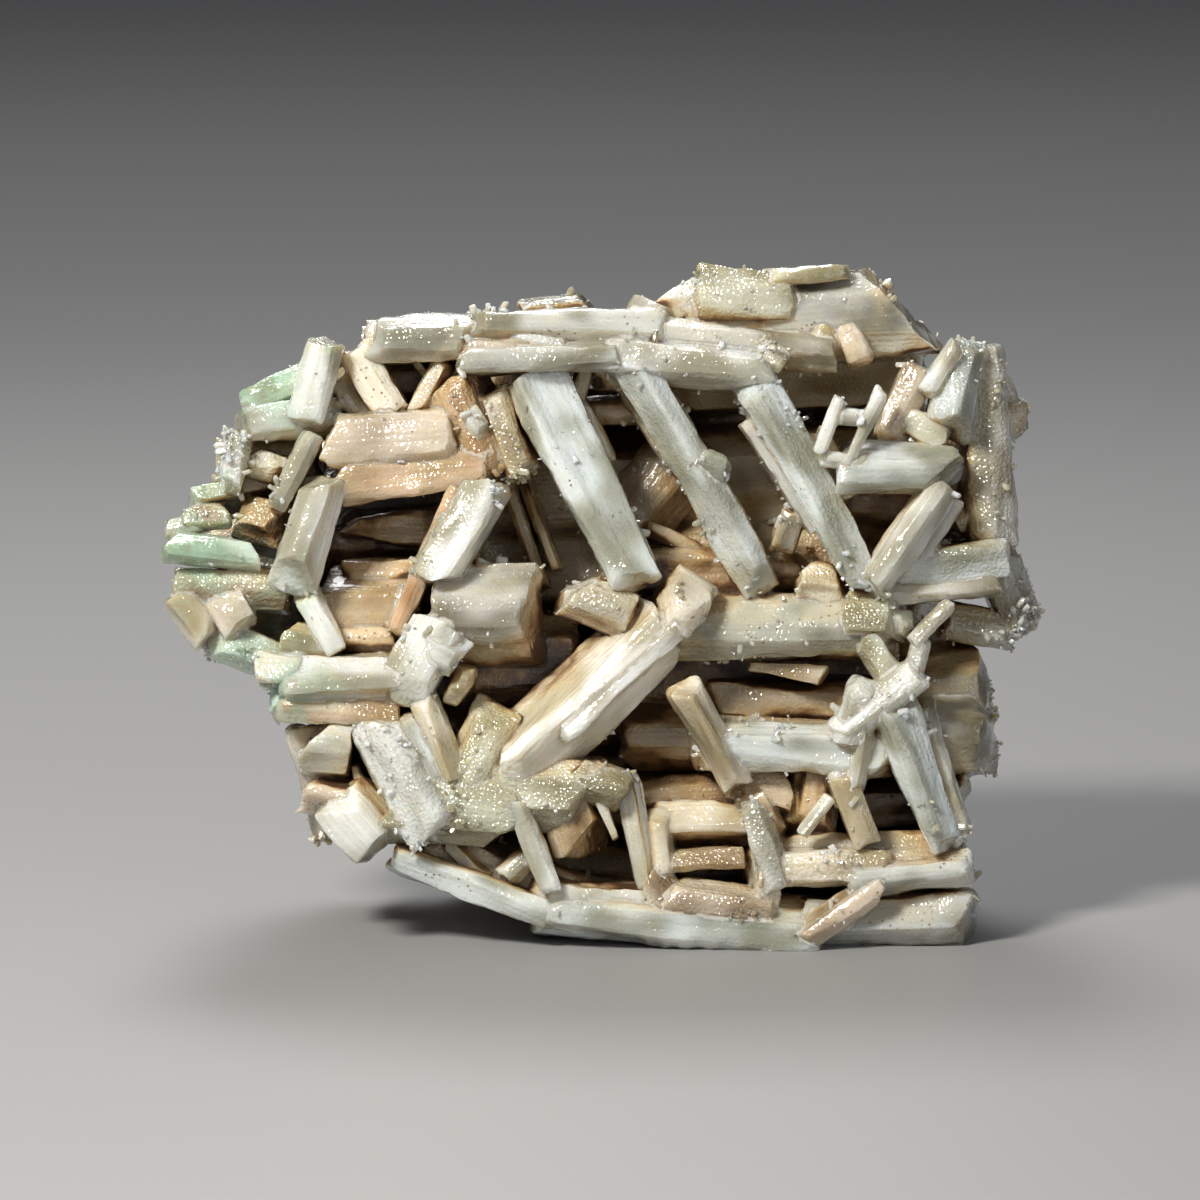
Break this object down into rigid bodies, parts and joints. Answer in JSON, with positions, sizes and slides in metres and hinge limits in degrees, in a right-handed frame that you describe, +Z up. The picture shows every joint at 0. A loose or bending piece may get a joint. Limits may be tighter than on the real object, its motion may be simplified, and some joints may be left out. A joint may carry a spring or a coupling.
{
  "type": "cerussite specimen",
  "caption": "Reticulated cluster of milky prismatic crystals crossing in three directions, with open hollows between them, standing on a flat cut base.",
  "frame": {"origin": "centre of the bounding box's bottom, on the plane that the cut base rests on", "axes": "+X to the right along the longest extent as the picture shows it, +Y away from the picture's camera through the thickness, +Z up"},
  "size_m": [0.0894, 0.046, 0.0677],
  "materials": {
    "cerussite": "milky translucent crystal with a vitreous to waxy surface, honey-brown iron stain in the hollows and pale blue-green copper stain at the left end"
  },
  "bodies": {
    "root": {"cerussite_lattice": "cerussite"}
  },
  "joints": []
}
